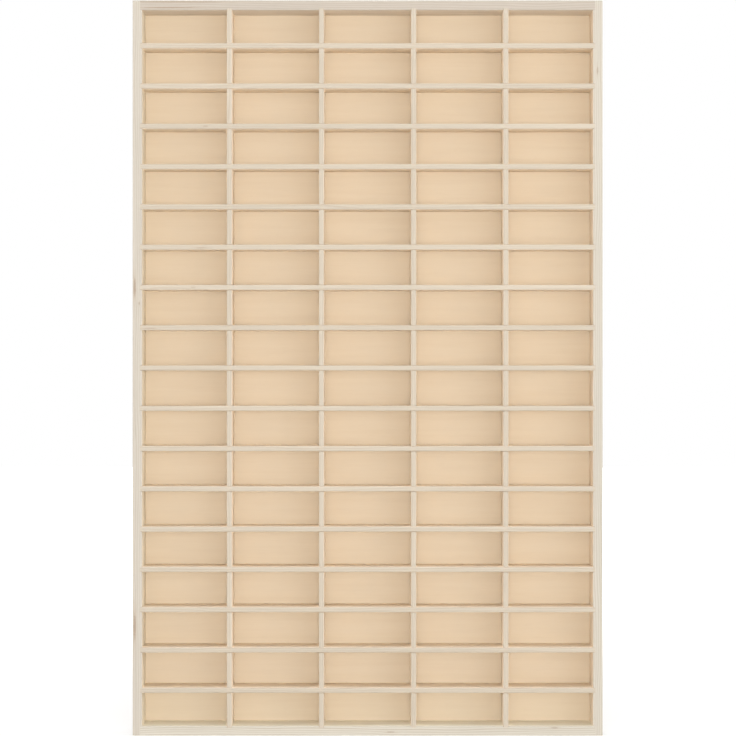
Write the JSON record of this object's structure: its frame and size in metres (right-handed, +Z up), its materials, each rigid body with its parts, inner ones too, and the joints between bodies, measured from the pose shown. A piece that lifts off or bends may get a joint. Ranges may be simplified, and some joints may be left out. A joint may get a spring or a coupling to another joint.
{
  "type": "collector display case",
  "caption": "Shallow open-front wooden wall case, divided by half-lapped shelves and dividers into rows of small compartments, with a plywood back and sawtooth hangers.",
  "frame": {"origin": "middle of the case's underside: centre of the width and of the depth, at the lowest edge", "axes": "+Z up the height; the open front faces -Y and the wall side faces +Y; +X is the viewer's right when facing the front"},
  "size_m": [0.47, 0.05, 0.735],
  "materials": {
    "frame_pine": "pale pine, sanded, unfinished",
    "slat_pine": "thin pale pine slat, sanded, unfinished",
    "plywood": "smooth tan plywood, unfinished",
    "nail_steel": "bright wire nail",
    "hanger_steel": "zinc-plated pressed sheet steel"
  },
  "bodies": {
    "root": {"left_stile": "frame_pine", "right_stile": "frame_pine", "top_rail": "frame_pine", "bottom_rail": "frame_pine", "shelf_01": "slat_pine", "shelf_02": "slat_pine", "shelf_03": "slat_pine", "shelf_04": "slat_pine", "shelf_05": "slat_pine", "shelf_06": "slat_pine", "shelf_07": "slat_pine", "shelf_08": "slat_pine", "shelf_09": "slat_pine", "shelf_10": "slat_pine", "shelf_11": "slat_pine", "shelf_12": "slat_pine", "shelf_13": "slat_pine", "shelf_14": "slat_pine", "shelf_15": "slat_pine", "shelf_16": "slat_pine", "shelf_17": "slat_pine", "divider_1": "slat_pine", "divider_2": "slat_pine", "divider_3": "slat_pine", "divider_4": "slat_pine", "back_panel": "plywood", "corner_nails": "nail_steel", "panel_nails": "nail_steel", "hanger_nails": "nail_steel", "left_hanger": "hanger_steel", "right_hanger": "hanger_steel"}
  },
  "joints": []
}
